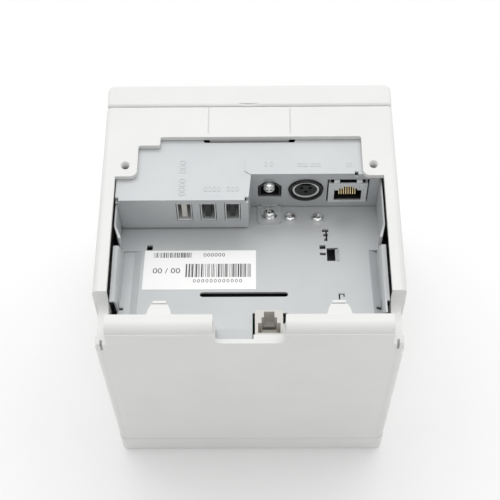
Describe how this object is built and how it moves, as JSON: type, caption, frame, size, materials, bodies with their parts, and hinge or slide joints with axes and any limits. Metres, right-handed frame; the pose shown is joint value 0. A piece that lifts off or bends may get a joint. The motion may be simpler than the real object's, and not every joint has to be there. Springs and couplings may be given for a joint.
{
  "type": "receipt printer",
  "caption": "Cube-shaped thermal receipt printer with a stepped connector bay, a hinged roll cover, a platen gear train, a sliding cutter and front keys.",
  "frame": {"origin": "centre of the bounding box at the face the printer lies on, opposite the connector bay", "axes": "+Z is the way the connector bay opens, +X is to the right seen from the cable notch, +Y is out of the roll paper cover and paper exit, -Y is out of the plain wall with the cable notch"},
  "size_m": [0.127, 0.125, 0.1271],
  "materials": {
    "case_plastic": "fine-grained warm white moulding",
    "steel_sheet": "zinc-plated sheet",
    "steel_bright": "ground steel",
    "chrome": "bright plated screws",
    "black_plastic": "fine satin",
    "grey_plastic": "satin moulding",
    "beige_plastic": "satin moulding",
    "gear_plastic": "acetal",
    "platen_rubber": "ground rubber",
    "ceramic": "glazed ceramic",
    "aluminium": "extruded",
    "motor_can": "plated can",
    "circuit_board": "solder mask",
    "brass": "gold-plated contact",
    "lens": "frosted clear",
    "paper": "matt label stock"
  },
  "bodies": {
    "printer": {"outer_case": "case_plastic", "base_panel": "case_plastic", "hinge_brackets": "steel_sheet", "roll_bucket": "grey_plastic", "mechanism_frame": "steel_sheet", "gear_bracket": "steel_sheet", "head_springs": "steel_bright", "gear_stud": "steel_bright", "feed_motor": "motor_can", "cutter_guide": "steel_sheet", "cutter_motor": "motor_can", "latch_pivot": "steel_bright", "latch_spring": "steel_bright", "panel_board": "circuit_board", "tact_switches": "black_plastic", "indicator_lenses": "lens", "near_end_bracket": "grey_plastic", "near_end_sensor": "black_plastic", "cover_sensor": "black_plastic", "paper_sensor": "black_plastic", "bay_floor": "steel_sheet", "io_housing": "steel_sheet", "main_board": "circuit_board", "drawer_board": "circuit_board", "usb_a_shells": "steel_bright", "usb_power_tongue": "beige_plastic", "usb_tongues": "black_plastic", "usb_b_socket": "black_plastic", "pan_fasteners": "chrome", "usb_b_screw": "chrome", "power_socket": "black_plastic", "power_socket_shield": "steel_bright", "ethernet_shield": "steel_bright", "ethernet_insert": "black_plastic", "ethernet_contacts": "brass", "ethernet_light_pipes": "lens", "drawer_jack": "beige_plastic", "drawer_jack_contacts": "brass", "serial_label": "paper"},
    "paper_cover": {"roll_cover": "case_plastic", "cover_liner": "grey_plastic", "cover_hinge_pins": "steel_bright", "platen_bushes": "gear_plastic", "fixed_blade": "steel_bright", "latch_pin": "steel_bright"},
    "platen": {"platen_roller": "platen_rubber", "platen_shaft": "steel_bright", "platen_gear": "gear_plastic"},
    "reduction": {"reduction_gear": "gear_plastic"},
    "motor_rotor": {"motor_pinion": "steel_bright"},
    "print_head": {"thermal_head": "ceramic", "head_heat_sink": "aluminium"},
    "cutter": {"cutter_blade": "steel_bright"},
    "cutter_drive": {"cutter_pinion": "gear_plastic"},
    "latch": {"latch_lever": "black_plastic"},
    "release": {"release_button": "case_plastic"},
    "power_key": {"power_button": "case_plastic"},
    "feed_key": {"feed_button": "case_plastic"},
    "near_end": {"near_end_lever": "black_plastic"}
  },
  "joints": [
    {"name": "cover_hinge", "type": "hinge", "parent": "printer", "child": "paper_cover", "pos_m": [0, 0.056, 0.122], "axis": [1, 0, 0], "range_deg": [0, 95]},
    {"name": "platen_spin", "type": "hinge", "parent": "paper_cover", "child": "platen", "pos_m": [0, 0.044, 0.024], "axis": [1, 0, 0], "continuous": true},
    {"name": "reduction_spin", "type": "hinge", "parent": "printer", "child": "reduction", "pos_m": [0, 0.03345, 0.024], "axis": [1, 0, 0], "continuous": true},
    {"name": "motor_spin", "type": "hinge", "parent": "printer", "child": "motor_rotor", "pos_m": [0, 0.02383, 0.01675], "axis": [1, 0, 0], "continuous": true},
    {"name": "head_tilt", "type": "hinge", "parent": "printer", "child": "print_head", "pos_m": [0, 0.03242, 0.01995], "axis": [1, 0, 0], "range_deg": [-3, 0], "stiffness_Nm_per_rad": 2, "springref_deg": 1.72, "deforming": ["head_springs"]},
    {"name": "cutter_slide", "type": "slide", "parent": "printer", "child": "cutter", "axis": [0, 0, 1], "range_m": [0, 0.006]},
    {"name": "cutter_pinion_spin", "type": "hinge", "parent": "printer", "child": "cutter_drive", "pos_m": [0.047, 0.05, 0.008], "axis": [0, 1, 0], "range_deg": [0, 84]},
    {"name": "latch_turn", "type": "hinge", "parent": "printer", "child": "latch", "pos_m": [-0.0466, 0.027, 0.017], "axis": [-1, 0, 0], "range_deg": [0, 9], "stiffness_Nm_per_rad": 0.2, "springref_deg": -5.73, "deforming": ["latch_spring"]},
    {"name": "release_press", "type": "slide", "parent": "printer", "child": "release", "axis": [0, -1, 0], "range_m": [0, 0.00142]},
    {"name": "power_press", "type": "slide", "parent": "printer", "child": "power_key", "axis": [0, -1, 0], "range_m": [0, 0.0008], "stiffness_N_per_m": 300, "springref_m": -0.0004},
    {"name": "feed_press", "type": "slide", "parent": "printer", "child": "feed_key", "axis": [0, -1, 0], "range_m": [0, 0.0008], "stiffness_N_per_m": 300, "springref_m": -0.0004},
    {"name": "near_end_turn", "type": "hinge", "parent": "printer", "child": "near_end", "pos_m": [-0.0455, -0.03, 0.054], "axis": [0, 0, 1], "range_deg": [0, 5], "stiffness_Nm_per_rad": 0.02, "springref_deg": -2.86}
  ],
  "couplings": [
    {"joint": "reduction_spin", "follows": "platen_spin", "ratio": -2},
    {"joint": "motor_spin", "follows": "platen_spin", "ratio": 6},
    {"joint": "cutter_pinion_spin", "follows": "cutter_slide", "rad_per_m": 238.1},
    {"joint": "release_press", "follows": "latch_turn", "m_per_rad": 0.008913}
  ]
}
